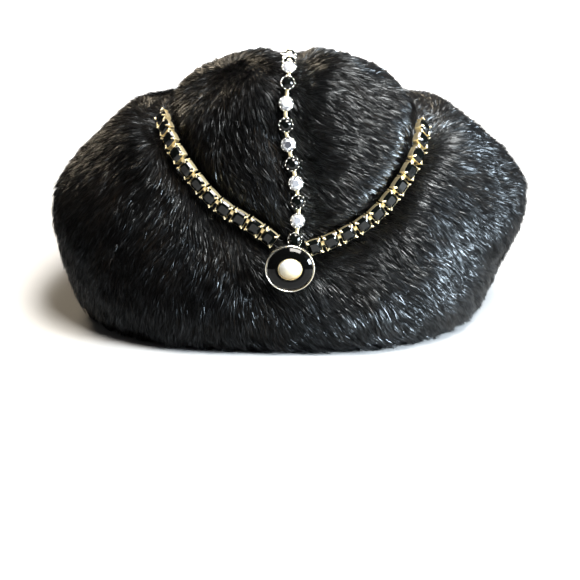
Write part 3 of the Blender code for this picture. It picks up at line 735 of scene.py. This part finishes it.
def build_medallion(looks):
    """The medallion: a thin bright rim, a black ring with faint facets, a gold line and a pearl."""
    place = setting_frame("medallion_bezel", Vector((1, 0, 0)))
    low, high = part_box("medallion_bezel")
    width = high.x - low.x
    length = width - PEARL_OVAL

    def ring(inset, height, sides=RIM_SIDES):
        return ring_points(width - 2 * inset, length - 2 * inset, height, sides)

    rim = bmesh.new()
    profile = [
        ring(0.0006, 0),
        ring(0.0001, RIM_DEPTH * 0.3),
        ring(0, RIM_DEPTH * 0.85),
        ring(0.0002, RIM_DEPTH * 0.97),
        ring(RIM_WIDTH * 0.5, RIM_DEPTH),
        ring(RIM_WIDTH * 0.85, RIM_DEPTH * 0.96),
        ring(RIM_WIDTH, RIM_DEPTH * 0.85),
        ring(RIM_WIDTH, RIM_DEPTH * 0.4),
    ]
    add_loft(rim, profile, 0)
    finish_setting("medallion_bezel_rim", "medallion_bezel", rim, place, [looks["silver"]], True)

    disc = bmesh.new()
    edge = RIM_WIDTH + DISC_GAP
    add_loft(disc, [ring(edge + inset, height, DISC_SIDES) for inset, height in DISC_PROFILE], 0)
    name = "medallion_disc"
    finish_setting(name + "_glass", name, disc, place, [looks["jet"]], False)

    low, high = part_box("medallion_pearl")
    pearl_width = high.x - low.x - PEARL_INSET
    pearl_length = pearl_width - PEARL_OVAL

    def pearl_ring(wider, height):
        return ring_points(pearl_width + wider, pearl_length + wider, PEARL_FOOT + height, PEARL_SIDES)

    band = bmesh.new()
    profile = [
        pearl_ring(PEARL_BAND, 0),
        pearl_ring(PEARL_BAND, 0.0007),
        pearl_ring(PEARL_BAND * 0.5, 0.0010),
        pearl_ring(-0.0002, 0.0008),
    ]
    add_loft(band, profile, 0)
    name = "medallion_pearl"
    finish_setting(name + "_band", name, band, place, [looks["gold"]], True)

    dome = bmesh.new()
    rings = []
    for k in range(PEARL_STEPS):
        angle = math.pi / 2 * k / PEARL_STEPS
        share = math.cos(angle) * PEARL_SHARE
        height = PEARL_FOOT + PEARL_SUNK + PEARL_RISE * math.sin(angle)
        rings.append(ring_points(pearl_width * share, pearl_length * share, height, PEARL_SIDES))
    add_loft(dome, rings, 0)
    finish_setting(name + "_dome", name, dome, place, [looks["pearl"]], True)


def add_light(name, place, target, size, power, colour):
    """A soft square light that looks at a point."""
    data = bpy.data.lights.new(name, "AREA")
    data.shape = "RECTANGLE"
    data.size, data.size_y = size
    data.energy = power
    data.color = colour
    light = bpy.data.objects.new(name, data)
    light.location = place
    light.rotation_mode = "QUATERNION"
    light.rotation_quaternion = (Vector(target) - Vector(place)).to_track_quat("-Z", "Y")
    bpy.context.scene.collection.objects.link(light)
    return data


def build_studio():
    """A pale floor, soft lights and the camera."""
    mesh = bpy.data.meshes.new("floor")
    corners = [(x * FLOOR_HALF, y * FLOOR_HALF, 0) for x, y in ((-1, -1), (1, -1), (1, 1), (-1, 1))]
    mesh.from_pydata(corners, [], [(0, 1, 2, 3)])
    mesh.materials.append(new_material("floor", (0.36, 0.36, 0.36), 0.9))
    floor = bpy.data.objects.new("floor", mesh)
    bpy.context.scene.collection.objects.link(floor)

    made = {light[0]: add_light(*light) for light in LIGHTS}
    made["back"].spread = BACK_SPREAD

    world = bpy.data.worlds.new("studio")
    bpy.context.scene.world = world
    world.use_nodes = True
    sky = world.node_tree.nodes["Background"]
    sky.inputs["Color"].default_value = (1.0, 1.0, 1.0, 1)
    sky.inputs["Strength"].default_value = WORLD_LIGHT
    bpy.context.scene.view_settings.view_transform = "Standard"

    data = bpy.data.cameras.new("camera")
    data.sensor_width = SENSOR_WIDTH
    data.lens = CAMERA_LENS
    camera = bpy.data.objects.new("camera", data)
    back = Vector((0, -math.cos(CAMERA_ELEVATION), math.sin(CAMERA_ELEVATION)))
    camera.location = CAMERA_TARGET + back * CAMERA_DISTANCE
    camera.rotation_mode = "QUATERNION"
    camera.rotation_quaternion = (-back).to_track_quat("-Z", "Y")
    bpy.context.scene.collection.objects.link(camera)
    bpy.context.scene.camera = camera


def main():
    """Builds the fur, the three chains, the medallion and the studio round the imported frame."""
    looks = {
        "silver": new_material("silver_metal", (0.78, 0.76, 0.70), 0.22, 1.0),
        "gold": new_material("gold_metal", (0.92, 0.79, 0.50), 0.42, 1.0),
        "clear": crystal_material(),
        "black": new_material("black_crystal", (0.001, 0.0014, 0.0012), 0.10, Specular_IOR_Level=0.30),
        "jet": new_material("black_glass", (0.001, 0.001, 0.001), 0.08, Specular_IOR_Level=0.16),
        "pearl": pearl_material(),
    }
    build_fur()
    for stem in ("centre_stone", "left_stone", "right_stone"):
        build_chain(stem, looks)
    build_medallion(looks)
    build_studio()


main()
